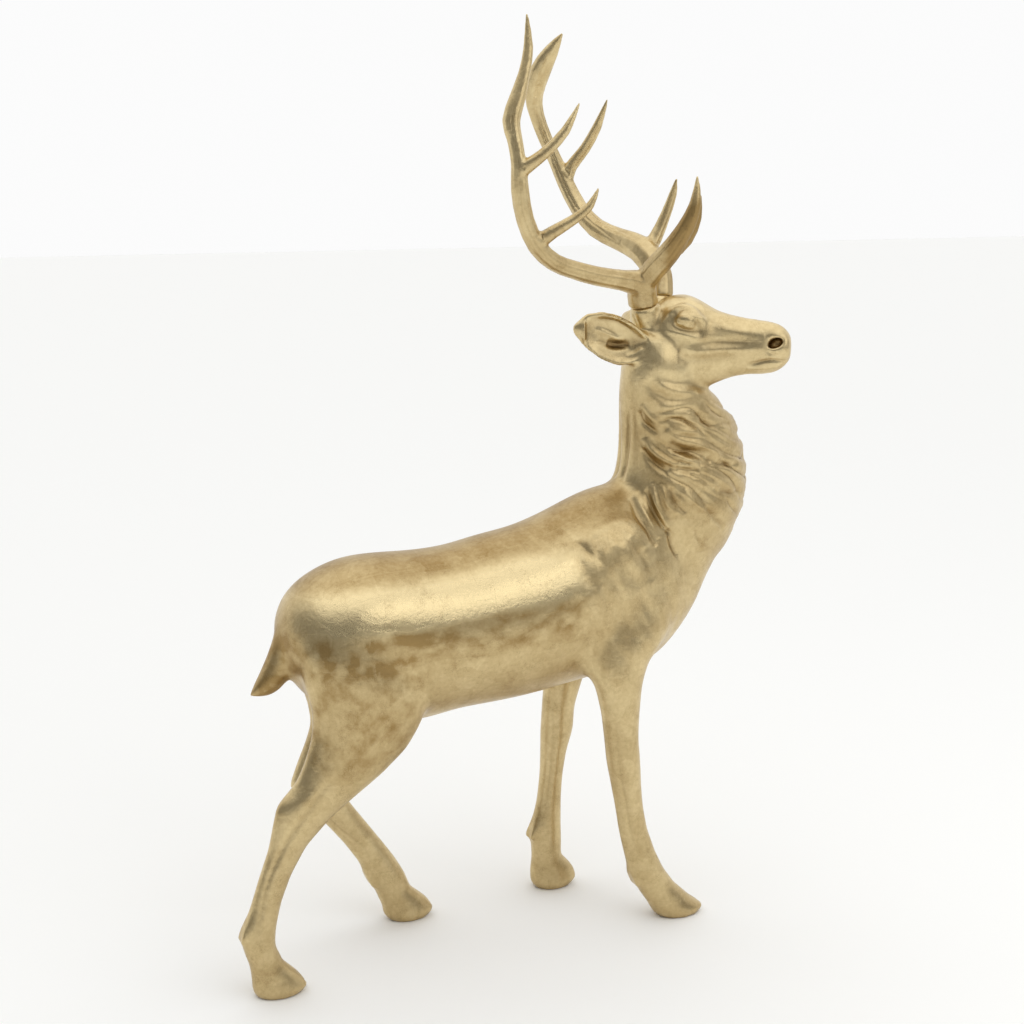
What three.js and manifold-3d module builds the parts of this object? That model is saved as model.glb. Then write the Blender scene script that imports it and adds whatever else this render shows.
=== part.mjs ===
// A red deer stag, cast in metal, walking, with its head turned to its right and a many-pointed rack.
// Millimetres. +X runs to the stag's front, +Y to its left, +Z up. The tables are measured from the
// ground midway between the four hooves; the last lines move the figure so that the origin lies on the
// ground under the middle of its box.
import * as THREE from "three";
import Module from "manifold-3d";
import { mergeVertices } from "three/addons/utils/BufferGeometryUtils.js";

const wasm = await Module();
wasm.setup();

// ---------------------------------------------------------------- driving dimensions
const TORSO_SIDES = 22;
const NECK_SIDES = 26;
const HEAD_SIDES = 18;
const LEG_SIDES = 12;
const BEAM_SIDES = 8;
const TINE_SIDES = 6;
const TAIL_SIDES = 8;
const BALL_FACES = [10, 6]; // round and down

const CLEFT_LENGTH = 58; // the split between the two claws of a hoof
const CLEFT_WIDTH = 11;
const CLEFT_HEIGHT = 48;
const CLEFT_OPEN = 2; // how far the split's wedge runs out past the toe
const DEWCLAW = { radius: 9, spread: 13, heights: [62, 30, 3, -6], radii: [5, 8, 9, 6], depths: [12, 4] };

const HEAD_AT = [401, -10, 1396]; // the poll, between the antlers
const HEAD_TURN = -36; // degrees, negative to the stag's right
const LEFT_EAR = { root: [2, 72, -78], turn: -40, drop: -8 }; // degrees: the left ear is turned out and down
const EYE = { at: [82, 58, -28], radii: [19, 14, 14] }; // forward, out, up from the poll
const NOSTRIL = { at: [271, 31, -70], radii: [16, 14, 9] };
// The stump that carries an antler: depth under the seat, radius.
const PEDICLE = [[70, 30], [32, 36], [0, 32]];
const PEDICLE_SIDES = 12;
const SEAT_GAP = 0.3; // between an antler and the stump that carries it
const ANTLER_FLATTENING = 0.86;

const LOCKS = 9; // locks of the mane from the top of the neck to its foot
const LOCK_PROFILE = [-1, 0.5, 1]; // a lock across its width: the groove above it, its slope, its crest
const LOCK_RELIEF = 9; // a crest over, or a groove under, the neck's round
// A lock's line bends up and down: how far, bends to the throat, shift from lock to lock.
const LOCK_SWAY = { rise: 6, along: 9, step: 2.1 };
const LOCK_FULLNESS = { mean: 0.6, swell: 0.4, along: 11, step: 2.4 }; // its crest swells and sinks along it
const MANE_TOP = 1255; // height at the nape where the locks begin
const NECK_FOOT = 930; // height at the nape of the neck's hidden end
const PLAIN_NECK = [1275, 1300, 1330, 1361]; // heights of the smooth lines above the mane
const MANE_EDGE = [40, 72]; // degrees from the nape between which the locks rise to their full relief

// Trunk: x, height of the back, height of the belly, half width, where between the two it is widest
const TRUNK = [
  [-462, 776, 700, 34, 0.5],
  [-448, 813, 662, 74, 0.5],
  [-416, 848, 614, 112, 0.52],
  [-371, 874, 575, 138, 0.55],
  [-310, 894, 545, 150, 0.57],
  [-240, 898, 530, 151, 0.55],
  [-160, 896, 525, 150, 0.52],
  [-80, 900, 537, 153, 0.5],
  [0, 916, 541, 156, 0.48],
  [80, 929, 546, 156, 0.48],
  [160, 955, 555, 152, 0.5],
  [240, 988, 564, 146, 0.52],
  [320, 1007, 568, 138, 0.52],
  [400, 982, 588, 122, 0.5],
  [460, 930, 640, 98, 0.48],
  [508, 880, 708, 74, 0.46],
  [544, 842, 778, 42, 0.45],
];

// Neck: height, nape, throat, centre to the left, half width
const NECK = [
  [730, 390, 505, 0, 40],
  [770, 370, 545, 0, 60],
  [820, 335, 578, 0, 88],
  [870, 310, 608, 0, 108],
  [925, 304, 634, 0, 118],
  [985, 316, 644, -2, 120],
  [1045, 331, 636, -5, 112],
  [1105, 331, 619, -12, 102],
  [1160, 324, 582, -22, 92],
  [1210, 320, 534, -30, 84],
  [1260, 322, 494, -34, 78],
  [1320, 334, 468, -30, 70],
  [1362, 358, 440, -18, 48],
];

// How far a lock falls on its way from the nape to the throat: height at the nape, fall
const FALL = [
  [930, 185],
  [990, 200],
  [1050, 180],
  [1110, 140],
  [1170, 98],
  [1230, 62],
  [1290, 26],
  [1362, 0],
];

// Legs: height, back, front, centre to the left, half width. The widest rows of each are inside the trunk.
const HIND_RIGHT = [
  [812, -410, -290, -54, 48],
  [725, -446, -212, -78, 76],
  [650, -436, -176, -88, 76],
  [590, -424, -163, -94, 67],
  [545, -428, -188, -99, 55],
  [500, -444, -219, -102, 46],
  [455, -466, -272, -104, 40],
  [412, -508, -334, -105, 34],
  [372, -517, -390, -105, 31],
  [320, -528, -444, -105, 27],
  [262, -549, -479, -105, 25],
  [205, -568, -502, -105, 25],
  [152, -586, -515, -105, 28],
  [112, -588, -519, -105, 31],
  [72, -575, -503, -105, 30],
  [36, -571, -467, -105, 35],
  [13, -570, -450, -105, 39],
  [0, -561, -465, -105, 36],
];
const HIND_LEFT = [
  [812, -400, -270, 56, 48],
  [725, -430, -194, 84, 76],
  [650, -408, -164, 96, 76],
  [590, -388, -162, 103, 67],
  [545, -372, -178, 109, 55],
  [500, -366, -204, 112, 46],
  [455, -380, -236, 114, 40],
  [408, -400, -266, 116, 35],
  [360, -417, -300, 117, 32],
  [305, -374, -278, 117, 27],
  [255, -334, -243, 117, 25],
  [205, -295, -208, 117, 25],
  [155, -262, -174, 117, 28],
  [115, -242, -152, 117, 31],
  [75, -222, -137, 117, 30],
  [38, -207, -95, 117, 35],
  [16, -203, -80, 117, 39],
  [0, -190, -96, 117, 36],
];
const FRONT_RIGHT = [
  [840, 260, 420, -58, 44],
  [755, 216, 442, -80, 56],
  [680, 194, 414, -95, 54],
  [618, 192, 354, -107, 49],
  [566, 222, 333, -113, 43],
  [510, 236, 327, -115, 38],
  [450, 243, 324, -117, 35],
  [395, 249, 329, -118, 35],
  [340, 260, 333, -118, 30],
  [285, 271, 339, -118, 26],
  [225, 281, 352, -118, 25],
  [165, 296, 374, -118, 28],
  [120, 309, 396, -118, 31],
  [78, 331, 426, -118, 30],
  [38, 358, 468, -118, 36],
  [13, 372, 503, -118, 41],
  [0, 388, 488, -118, 38],
];
const FRONT_LEFT = [
  [840, 238, 412, 60, 44],
  [755, 192, 416, 84, 56],
  [680, 176, 391, 102, 54],
  [618, 183, 352, 116, 49],
  [566, 198, 325, 125, 43],
  [510, 208, 304, 129, 38],
  [450, 206, 287, 132, 35],
  [395, 203, 284, 133, 35],
  [340, 203, 268, 134, 30],
  [285, 201, 259, 134, 26],
  [225, 194, 255, 134, 25],
  [165, 181, 255, 134, 28],
  [120, 178, 256, 134, 31],
  [78, 181, 256, 134, 30],
  [40, 176, 289, 134, 35],
  [16, 178, 297, 134, 39],
  [0, 190, 278, 134, 36],
];

// The tip of the dewclaws of each leg: x, height
const CLAWS = {
  HIND_RIGHT: [-598, 130],
  HIND_LEFT: [-238, 96],
  FRONT_RIGHT: [318, 92],
  FRONT_LEFT: [165, 130],
};

// Tail: height, back, front, centre to the left, half width
const TAIL = [
  [812, -446, -400, 0, 18],
  [760, -468, -412, 0, 27],
  [705, -487, -428, 0, 32],
  [660, -509, -440, 0, 31],
  [632, -527, -456, 0, 23],
  [616, -535, -488, 0, 9],
];

// Head: forward from the poll, height of the top, of the underside, half width, where it is widest
const HEAD = [
  [-62, -50, -122, 34, 0.5],
  [-42, -30, -152, 52, 0.5],
  [-10, -12, -176, 62, 0.55],
  [30, 20, -190, 68, 0.62],
  [72, 28, -190, 70, 0.68],
  [108, 14, -185, 62, 0.68],
  [142, -5, -168, 50, 0.62],
  [180, -16, -152, 40, 0.58],
  [220, -23, -145, 35, 0.55],
  [258, -28, -143, 34, 0.56],
  [286, -38, -131, 32, 0.58],
  [304, -60, -108, 22, 0.5],
];

// Brow ridge over an eye: forward, out, up, radius
const BROW = [
  [48, 50, -16, 5],
  [72, 62, -13, 10],
  [96, 64, -17, 10],
  [122, 52, -28, 5],
];

// Ear: forward, out, lower rim, upper rim, thickness at that place
const EAR = [
  [26, 58, -84, -64, 10],
  [2, 71, -100, -56, 16],
  [-30, 82, -121, -29, 22],
  [-62, 91, -123, -11, 26],
  [-96, 98, -110, -4, 24],
  [-128, 104, -86, -9, 17],
  [-157, 109, -52, -34, 5],
];
const EAR_WALL = 7;
// The hollow stands out of the shell, facing a little forward
const EAR_CUP = { lift: 12, lean: 0.5, sides: 12 };

// Antler beams and tines: forward, out, up, half height of the section. The first row of a beam is its seat.
const RIGHT_BEAM = [
  [-13, 43, 6, 34],
  [-16, 50, 28, 33],
  [-20, 62, 52, 33],
  [-52, 85, 61, 25],
  [-100, 120, 71, 23],
  [-149, 150, 86, 22],
  [-187, 175, 103, 21],
  [-219, 198, 137, 21],
  [-241, 215, 192, 20],
  [-250, 225, 252, 20],
  [-252, 228, 305, 17],
  [-261, 224, 353, 17],
  [-270, 219, 392, 20],
  [-258, 209, 440, 18],
  [-246, 200, 489, 13],
  [-240, 190, 539, 11],
  [-245, 182, 606, 3.5],
];
const RIGHT_TINES = {
  brow: [
    [-10, 60, 56, 26], [14, 77, 87, 27], [47, 92, 123, 25],
    [80, 100, 173, 20], [100, 100, 224, 14], [102, 92, 281, 3.5],
  ],
  middle: [
    [-219, 198, 143, 19], [-184, 200, 167, 15], [-142, 190, 193, 12],
    [-111, 180, 220, 10], [-94, 172, 257, 3.5],
  ],
  upper: [
    [-252, 228, 290, 20], [-220, 230, 310, 15], [-189, 225, 335, 13],
    [-156, 215, 373, 11], [-130, 205, 427, 3.5],
  ],
};
const LEFT_BEAM = [
  [10, 42, 17, 32],
  [9, 49, 46, 32],
  [-1, 60, 80, 33],
  [-36, 90, 119, 33],
  [-96, 135, 140, 27],
  [-153, 170, 163, 24],
  [-199, 200, 207, 21],
  [-235, 220, 266, 20],
  [-260, 228, 315, 17],
  [-284, 228, 365, 17],
  [-303, 222, 417, 18],
  [-308, 212, 462, 22],
  [-291, 200, 514, 25],
  [-264, 190, 557, 18],
  [-237, 182, 595, 3.5],
];
const LEFT_TINES = {
  brow: [[-2, 58, 76, 22], [25, 75, 107, 20], [62, 90, 143, 18], [84, 95, 190, 13], [93, 90, 240, 3.5]],
  second: [
    [-27, 80, 112, 22], [-8, 100, 143, 17], [13, 110, 194, 13],
    [29, 108, 240, 10], [37, 102, 275, 3.5],
  ],
  upper: [
    [-236, 220, 268, 20], [-221, 225, 303, 16], [-191, 222, 339, 14],
    [-160, 212, 390, 12], [-135, 200, 451, 3.5],
  ],
};

// ---------------------------------------------------------------- curves and skins
const vector = (x, y, z) => new THREE.Vector3(x, y, z);
const radians = THREE.MathUtils.degToRad;
const smoothstep = THREE.MathUtils.smoothstep;

// Rows of numbers, with a smooth curve through them: steps rows for each one given.
function through(rows, steps) {
  const out = [];
  const last = rows.length - 1;
  for (let i = 0; i < last; i++) {
    const before = rows[Math.max(i - 1, 0)];
    const after = rows[Math.min(i + 2, last)];
    for (let k = 0; k < steps; k++) {
      const t = k / steps;
      out.push(
        rows[i].map((start, n) => {
          const end = rows[i + 1][n];
          const leave = (end - before[n]) / 2;
          const arrive = (after[n] - start) / 2;
          const bend = (2 * t ** 3 - 3 * t ** 2 + 1) * start + (t ** 3 - 2 * t ** 2 + t) * leave;
          return bend + (3 * t ** 2 - 2 * t ** 3) * end + (t ** 3 - t ** 2) * arrive;
        }),
      );
    }
  }
  out.push(rows[last]);
  return out;
}

// A section has a centre, a reach to one side and to the other of it, and a half width across.
// Slices that lie flat, for what stands: rows of height, back, front, left, half width.
function flatSlice([height, back, front, left, half]) {
  const reach = vector((front - back) / 2, 0, 0);
  return {
    centre: vector((front + back) / 2, left, height),
    fore: reach,
    aft: reach.clone().negate(),
    side: vector(0, half, 0),
  };
}

// Slices that stand across, for what lies: rows of x, top, bottom, half width, where it is widest.
function crossSlice([x, top, bottom, half, widest]) {
  const middle = bottom + (top - bottom) * widest;
  return {
    centre: vector(x, 0, middle),
    fore: vector(0, 0, top - middle),
    aft: vector(0, 0, bottom - middle),
    side: vector(0, half, 0),
  };
}

// Slices square to a path: rows of x, y, z, half height. Each slice's sideways direction is carried on from
// the last, so that the skin doesn't twist.
function pathSlices(rows, flattening, firstSide = vector(0, 1, 0)) {
  const points = rows.map(([x, y, z]) => vector(x, y, z));
  const side = firstSide.clone();
  return points.map((point, i) => {
    const ahead = points[Math.min(i + 1, points.length - 1)];
    const along = ahead.clone().sub(points[Math.max(i - 1, 0)]).normalize();
    side.addScaledVector(along, -side.dot(along)).normalize();
    const fore = along.clone().cross(side);
    return {
      centre: point,
      fore: fore.clone().multiplyScalar(rows[i][3]),
      aft: fore.multiplyScalar(-rows[i][3]),
      side: side.clone().multiplyScalar(rows[i][3] * flattening),
    };
  });
}

// A closed solid from corner points and triangles, turned so that its faces point out.
function solid(corners, triangles) {
  const vertProperties = new Float32Array(corners.flatMap((c) => [c.x, c.y, c.z]));
  const build = (order) =>
    new wasm.Manifold(new wasm.Mesh({ numProp: 3, vertProperties, triVerts: new Uint32Array(order) }));
  const made = build(triangles.flat());
  return made.volume() > 0 ? made : build(triangles.map(([a, b, c]) => [a, c, b]).flat());
}

// The point of a section at an angle: 0 is its reach, a quarter turn its side.
function onSection({ centre, fore, aft, side }, angle) {
  const reach = Math.cos(angle) >= 0 ? fore : aft;
  const point = centre.clone().addScaledVector(reach, Math.abs(Math.cos(angle)));
  return point.addScaledVector(side, Math.sin(angle));
}

// The corners of a section, evenly round it.
const ring = (section, sides) =>
  Array.from({ length: sides }, (_, k) => onSection(section, (2 * Math.PI * k) / sides));

// A skin over a row of rings, closed at both ends by a fan about the ring's middle.
function skin(rings) {
  const corners = rings.flat();
  const triangles = [];
  const sides = rings[0].length;
  const lastRing = corners.length - sides;
  const middle = (loop) => loop.reduce((sum, c) => sum.add(c), vector(0, 0, 0)).divideScalar(sides);
  const start = corners.push(middle(rings[0])) - 1;
  const end = corners.push(middle(rings.at(-1))) - 1;
  for (let k = 0; k < sides; k++) {
    const next = (k + 1) % sides;
    triangles.push([start, next, k], [end, lastRing + k, lastRing + next]);
    for (let below = 0; below < lastRing; below += sides) {
      const above = below + sides;
      triangles.push([above + k, below + k, above + next], [above + next, below + k, below + next]);
    }
  }
  return solid(corners, triangles);
}

const tube = (sections, sides) => skin(sections.map((section) => ring(section, sides)));

const union = (solids) => solids.reduce((joined, one) => joined.add(one));

// A three.js shape as a solid, placed by a matrix.
function placed(geometry, matrix) {
  const plain = geometry.clone().applyMatrix4(matrix);
  plain.deleteAttribute("normal");
  plain.deleteAttribute("uv");
  const merged = mergeVertices(plain, 1e-3);
  return new wasm.Manifold(
    new wasm.Mesh({
      numProp: 3,
      vertProperties: merged.attributes.position.array,
      triVerts: new Uint32Array(merged.index.array),
    }),
  );
}

function ellipsoid([x, y, z], radii) {
  const matrix = new THREE.Matrix4().makeScale(...radii).setPosition(x, y, z);
  return placed(new THREE.SphereGeometry(1, ...BALL_FACES), matrix);
}

// ---------------------------------------------------------------- trunk, neck and tail
const NECK_FINE = through(NECK, 12);

function trunk() {
  return tube(through(TRUNK, 2).map(crossSlice), TORSO_SIDES);
}

// A table of two columns read between its rows.
function lookUp(table, at) {
  const k = Math.max(1, table.findIndex(([key]) => key >= at));
  const [low, high] = [table[k - 1], table[k]];
  return THREE.MathUtils.mapLinear(at, low[0], high[0], low[1], high[1]);
}

const waves = ({ along, step }, place, lock) => Math.sin(along * place + step * lock);

// One line of the neck's skin, on which a lock lies: it falls from the nape to the throat on both sides.
// A line without relief has no sway either.
function maneLine(napeHeight, relief = 0, lock = 0) {
  return Array.from({ length: NECK_SIDES }, (_, k) => {
    const angle = (2 * Math.PI * k) / NECK_SIDES;
    const towardThroat = Math.abs(1 - (2 * k) / NECK_SIDES);
    const sway = relief ? waves(LOCK_SWAY, towardThroat, lock) * LOCK_SWAY.rise * towardThroat : 0;
    const height = napeHeight - lookUp(FALL, napeHeight) * smoothstep(towardThroat, 0, 1) + sway;
    const section = flatSlice(NECK_FINE.find(([z]) => z >= height));
    const point = onSection(section, angle);
    const outward = point.clone().sub(section.centre).normalize();
    const fullness = LOCK_FULLNESS.mean + LOCK_FULLNESS.swell * waves(LOCK_FULLNESS, towardThroat, lock);
    const rise = smoothstep(towardThroat * 180, ...MANE_EDGE) * fullness;
    return point.addScaledVector(outward, relief * rise);
  });
}

function neck() {
  const lines = [maneLine(NECK_FOOT)];
  const perLock = LOCK_PROFILE.length;
  const step = (MANE_TOP - NECK_FOOT) / (LOCKS * perLock);
  for (let n = 1; n <= LOCKS * perLock; n++) {
    const relief = LOCK_RELIEF * LOCK_PROFILE[n % perLock];
    lines.push(maneLine(NECK_FOOT + n * step, relief, Math.floor(n / perLock)));
  }
  for (const height of PLAIN_NECK) lines.push(maneLine(height));
  return skin(lines);
}

function tail() {
  return tube(through(TAIL, 2).map(flatSlice), TAIL_SIDES);
}

// ---------------------------------------------------------------- legs
// The split of a hoof: a wedge, open to the toe, that narrows towards the heel.
function cleft(toe, left) {
  const outline = new THREE.Shape();
  outline.moveTo(toe + CLEFT_OPEN, left - CLEFT_WIDTH / 2);
  outline.lineTo(toe + CLEFT_OPEN, left + CLEFT_WIDTH / 2);
  outline.lineTo(toe - CLEFT_LENGTH, left);
  outline.closePath();
  const wedge = new THREE.ExtrudeGeometry(outline, { depth: CLEFT_HEIGHT + 1, bevelEnabled: false });
  return placed(wedge, new THREE.Matrix4().makeTranslation(0, 0, -1));
}

// Where the back of a leg is at a height; a leg's rows run downwards.
function backAt(rows, height) {
  const k = rows.findIndex(([z]) => z <= height);
  return THREE.MathUtils.mapLinear(height, rows[k - 1][0], rows[k][0], rows[k - 1][1], rows[k][1]);
}

// The two small claws behind the fetlock grow out of the leg downwards and end in a step.
function dewclaws(rows, [tip, height]) {
  const left = rows.at(-1)[3];
  const { radius, spread, heights, radii, depths } = DEWCLAW;
  return [-1, 1].map((side) => {
    const path = heights.map((above, n) => {
      const z = height + above;
      const x = n < depths.length ? backAt(rows, z) + depths[n] : tip + radius;
      return [x, left + side * spread, z, radii[n]];
    });
    return tube(pathSlices(path, 1), TINE_SIDES);
  });
}

function leg(rows, claw) {
  const toe = Math.max(...rows.map(([height, , front]) => (height < CLEFT_HEIGHT ? front : -Infinity)));
  const limb = tube(rows.map(flatSlice), LEG_SIDES);
  return union([limb, ...dewclaws(rows, claw)]).subtract(cleft(toe, rows.at(-1)[3]));
}

// ---------------------------------------------------------------- head
// Points of the head are forward, out and up from the poll; side is 1 for the left, -1 for the right.
const onSide = (rows, side) => rows.map(([forward, out, up, ...rest]) => [forward, out * side, up, ...rest]);

function leftEarPlace() {
  const root = vector(...LEFT_EAR.root);
  const toRoot = new THREE.Matrix4().makeTranslation(root);
  const turn = new THREE.Matrix4().makeRotationZ(radians(LEFT_EAR.turn));
  const drop = new THREE.Matrix4().makeRotationY(radians(LEFT_EAR.drop));
  return toRoot.multiply(turn).multiply(drop).multiply(new THREE.Matrix4().makeTranslation(root.negate()));
}

function ear(side) {
  const shell = (inset, lift) =>
    EAR.map(([forward, out, low, high, thick]) => {
      const half = Math.max((high - low) / 2 - inset, 1);
      const depth = Math.max(thick - inset, 1);
      return {
        centre: vector(forward, side * (out + lift), (high + low) / 2),
        fore: vector(0, 0, half),
        aft: vector(0, 0, -half),
        side: vector(depth * EAR_CUP.lean, side * depth, 0),
      };
    });
  const hollow = tube(shell(EAR_WALL, EAR_CUP.lift).slice(1, -1), EAR_CUP.sides);
  const cup = tube(shell(0, 0), EAR_CUP.sides).subtract(hollow);
  return side > 0 ? cup.transform(leftEarPlace().elements) : cup;
}

// The stump on the skull that carries an antler, cut square to the antler's first stretch.
function pedicle(beam, side) {
  const seat = vector(beam[0][0], beam[0][1] * side, beam[0][2]);
  const next = vector(beam[1][0], beam[1][1] * side, beam[1][2]);
  const inward = seat.clone().sub(next).normalize();
  const rows = PEDICLE.map(([depth, radius]) => {
    const p = seat.clone().addScaledVector(inward, depth);
    return [p.x, p.y, p.z, radius];
  });
  return tube(pathSlices(rows, 1), PEDICLE_SIDES);
}

function head() {
  const skull = tube(through(HEAD, 2).map(crossSlice), HEAD_SIDES);
  const features = [];
  const hollows = [];
  for (const side of [-1, 1]) {
    const mirrored = ([forward, out, up]) => [forward, out * side, up];
    features.push(ellipsoid(mirrored(EYE.at), EYE.radii));
    features.push(tube(pathSlices(through(onSide(BROW, side), 2), 1), BEAM_SIDES));
    features.push(ear(side));
    features.push(pedicle(side < 0 ? RIGHT_BEAM : LEFT_BEAM, side));
    hollows.push(ellipsoid(mirrored(NOSTRIL.at), NOSTRIL.radii));
  }
  return union([skull, ...features]).subtract(union(hollows));
}

// ---------------------------------------------------------------- antlers
// The seat's row is moved up its path by the gap, so that the antler stands just clear of its stump, and
// the first stretch is straight, so that the foot is parallel to the stump's top.
function antler(beam, tines, side) {
  const [seat, ...rest] = onSide(beam, side);
  const lift = vector(...rest[0]).sub(vector(...seat)).normalize().multiplyScalar(SEAT_GAP);
  const foot = [seat[0] + lift.x, seat[1] + lift.y, seat[2] + lift.z, seat[3]];
  const stem = pathSlices([foot, ...through(rest, 2)], ANTLER_FLATTENING);
  const pieces = [tube(stem, BEAM_SIDES)];
  for (const tine of Object.values(tines)) {
    pieces.push(tube(pathSlices(through(onSide(tine, side), 2), ANTLER_FLATTENING), TINE_SIDES));
  }
  return union(pieces);
}

// ---------------------------------------------------------------- the figure
const headPlace = new THREE.Matrix4()
  .makeRotationZ(radians(HEAD_TURN))
  .setPosition(...HEAD_AT);
const turned = (made) => made.transform(headPlace.elements);

const body = union([
  trunk(),
  neck(),
  tail(),
  leg(HIND_RIGHT, CLAWS.HIND_RIGHT),
  leg(HIND_LEFT, CLAWS.HIND_LEFT),
  leg(FRONT_RIGHT, CLAWS.FRONT_RIGHT),
  leg(FRONT_LEFT, CLAWS.FRONT_LEFT),
  turned(head()),
]);
const antlers = {
  antler_right: turned(antler(RIGHT_BEAM, RIGHT_TINES, -1)),
  antler_left: turned(antler(LEFT_BEAM, LEFT_TINES, 1)),
};

function mesh(name, made) {
  const { numProp, vertProperties, triVerts } = made.getMesh();
  const geometry = new THREE.BufferGeometry();
  geometry.setAttribute("position", new THREE.BufferAttribute(vertProperties, numProp));
  geometry.setIndex(new THREE.BufferAttribute(triVerts, 1));
  geometry.computeVertexNormals();
  const gilt = new THREE.MeshStandardMaterial({ color: 0xb89f6e, roughness: 0.42, metalness: 0.9 });
  const named = new THREE.Mesh(geometry, gilt);
  named.name = name;
  return named;
}

const stag = new THREE.Group();
stag.add(mesh("stag_body", body));
for (const [name, made] of Object.entries(antlers)) stag.add(mesh(name, made));

const bounds = new THREE.Box3().setFromObject(stag);
const middle = bounds.getCenter(vector(0, 0, 0));
stag.position.set(-middle.x, -middle.y, -bounds.min.z);

export default stag;
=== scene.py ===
import math

import bmesh
import bpy
import numpy as np
from bpy.props import FloatProperty, FloatVectorProperty, PointerProperty
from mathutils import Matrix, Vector, noise


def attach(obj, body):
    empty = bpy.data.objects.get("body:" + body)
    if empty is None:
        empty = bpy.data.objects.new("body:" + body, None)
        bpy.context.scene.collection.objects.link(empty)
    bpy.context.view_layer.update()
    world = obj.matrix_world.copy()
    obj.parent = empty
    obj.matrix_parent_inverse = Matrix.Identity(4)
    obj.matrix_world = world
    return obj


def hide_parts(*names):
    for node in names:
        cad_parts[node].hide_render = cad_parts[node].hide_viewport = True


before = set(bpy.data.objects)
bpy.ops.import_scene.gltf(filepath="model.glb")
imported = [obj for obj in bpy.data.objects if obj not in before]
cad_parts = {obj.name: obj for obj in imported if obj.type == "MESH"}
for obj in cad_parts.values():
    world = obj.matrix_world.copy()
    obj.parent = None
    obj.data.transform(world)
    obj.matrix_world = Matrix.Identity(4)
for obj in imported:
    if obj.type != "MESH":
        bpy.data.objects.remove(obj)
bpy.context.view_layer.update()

bl_info = {
    "name": "Gilt Stag",
    "version": (1, 0, 0),
    "blender": (4, 5, 0),
    "location": "3D View > Sidebar > Stag",
    "description": "A walking stag, cast hollow in bronze and laid with pale gold leaf",
    "category": "Object",
}

MM = 0.001

# The figure's own frame: millimetres, from the ground midway between the hooves, x forward, y to its left.
# Lengths are in millimetres, apart from those of the studio and the settings, which are in metres.
FIGURE_AT = np.array([-30.99, -78.76, 0.0])
HEAD_AT = np.array([401.0, -10.0, 1396.0])  # the poll, between the antlers
HEAD_TURN = math.radians(-36)  # the head looks to the stag's right

BODY_TRIANGLES = 190_000
MERGE = 0.02  # points closer than this are one
BODY_SMOOTHING = 150  # passes
PULL_SMOOTHING = (0.5, 12)  # pull and passes: one part's pull runs into the next one's
ANTLER_SMOOTHING = (0.35, 40)
DIP_SMOOTHING = (0.6, 14)

# How readily each part of the body gives way to smoothing, 0 to 1
PULL = {
    "trunk": 0.9, "legs": 0.28, "hooves": 0.08, "tail": 0.4, "head": 0.16, "ears": 0.09,
    "antler stumps": 0.06, "eyes": 0.09, "nostrils": 0.09,
}
# What each part adds to how dulled its leaf is, from whole and bright at 0 to dulled at 1.
# Some parts are painted light: a highlight on the flank, and shade under it, on top and underneath.
WEAR_AND_LIGHT = {
    "everywhere": 0.2, "painted highlight band": -0.48, "painted shade below the band": 0.2, "rump": 0.15, "neck": 0.15, "tail": 0.25,
    "feet": 0.1, "painted shade on top": 0.34, "painted shade underneath": 0.2, "head": -0.2, "mottle": 0.42,
}
ANTLER_WEAR = {"everywhere": 0.1, "foot": 0.2, "brow tines": 0.7}
BAND_EDGE = ((-440, -200, 0, 250), (756, 760, 784, 800))  # the painted highlight band's lower edge: x, height
BODY_DIP = 3.8  # a hollow this deep is painted fully in shade
ANTLER_DIP = 2.0
# How much shade is painted inside the nostrils and in the cups of the ears
NOSTRIL_SHADE = 1.5
EAR_CUP_SHADE = 0.7

# Neck: height, nape, throat, centre to the left, half width
NECK = np.array([
    [730, 390, 505, 0, 40], [770, 370, 545, 0, 60], [820, 335, 578, 0, 88], [870, 310, 608, 0, 108],
    [925, 304, 634, 0, 118], [985, 316, 644, -2, 120], [1045, 331, 636, -5, 112],
    [1105, 331, 619, -12, 102], [1160, 324, 582, -22, 92], [1210, 320, 534, -30, 84],
    [1260, 322, 494, -34, 78], [1320, 334, 468, -30, 70], [1362, 358, 440, -18, 48],
], float)
# How far a lock falls from nape to throat: height at the nape, fall
FALL = np.array([
    [930, 185], [990, 200], [1050, 180], [1110, 140], [1170, 98], [1230, 62], [1290, 26], [1362, 0],
], float)

MANE_GIRTH = 240  # from nape to throat, round the neck
MANE_GAIN = 1.15  # the heart of the mane is cut this much deeper than the set rises
FRINGE_RISE = 4.6  # tips of the locks along the throat
FOLD_LEAN = 0.35  # the folds lean back as they rise
SHOULDER_AT = (262, 893)  # head of the shoulder blade: x, height
SHOULDER_REACH = (50, 42)

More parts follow.
